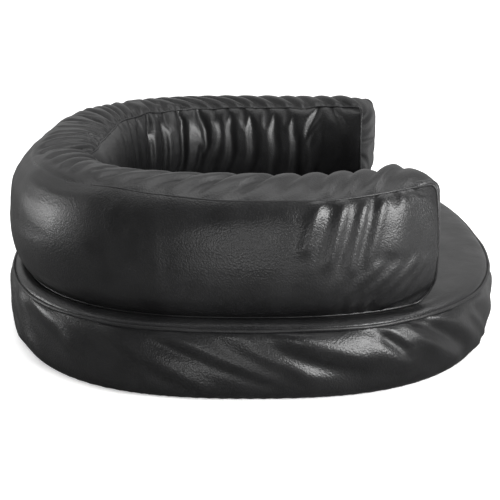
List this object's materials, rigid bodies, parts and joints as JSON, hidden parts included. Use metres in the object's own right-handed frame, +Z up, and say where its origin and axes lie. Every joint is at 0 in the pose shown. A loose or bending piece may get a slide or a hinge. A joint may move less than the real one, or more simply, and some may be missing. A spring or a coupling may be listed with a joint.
{
  "type": "bolstered pet bed",
  "caption": "Oval padded pet bed in black faux leather: a flat base cushion with a gathered C-shaped bolster sewn on top, open at the front, with piped seams and a concealed zip underneath.",
  "frame": {"origin": "on the floor under the middle of the base cushion", "axes": "+Z up, +X along the bed's width to the right seen from the front, -Y towards the open front, +Y towards the back of the bolster"},
  "size_m": [0.758, 0.538, 0.2023],
  "materials": {
    "cover": "coated faux leather, semi-gloss, fine grain",
    "piping": "coated faux leather wrapped over cord",
    "underside_fabric": "matte woven, dotted for grip",
    "foam": "open-cell foam, matte",
    "wadding": "bonded fibre, matte",
    "zip_tape": "woven tape, matte",
    "zip_teeth": "nylon, satin",
    "zip_metal": "dark lacquered zinc, satin"
  },
  "bodies": {
    "bed": {"base_foam_core": "foam", "base_top_wadding": "wadding", "base_bottom_wadding": "wadding", "base_top_panel": "cover", "base_side_band": "cover", "base_bottom_panel": "underside_fabric", "base_top_piping": "piping", "bolster_foam_core": "foam", "bolster_wadding": "wadding", "bolster_outer_panel": "cover", "bolster_inner_panel": "cover", "bolster_top_gusset": "cover", "bolster_underside_strip": "underside_fabric", "bolster_outer_piping": "piping", "bolster_inner_piping": "piping", "zip_tapes": "zip_tape", "zip_chain": "zip_teeth", "zip_end_stops": "zip_metal"},
    "slider": {"zip_slider": "zip_metal"},
    "pull_tab": {"zip_pull_tab": "zip_metal"}
  },
  "joints": [
    {"name": "zip_slide", "type": "slide", "parent": "bed", "child": "slider", "axis": [-1, 0, 0], "range_m": [0, 0.44]},
    {"name": "pull_tab_hinge", "type": "hinge", "parent": "slider", "child": "pull_tab", "pos_m": [0.232, 0.15, 0.00195], "axis": [0, -1, 0], "range_deg": [0, 170]}
  ]
}
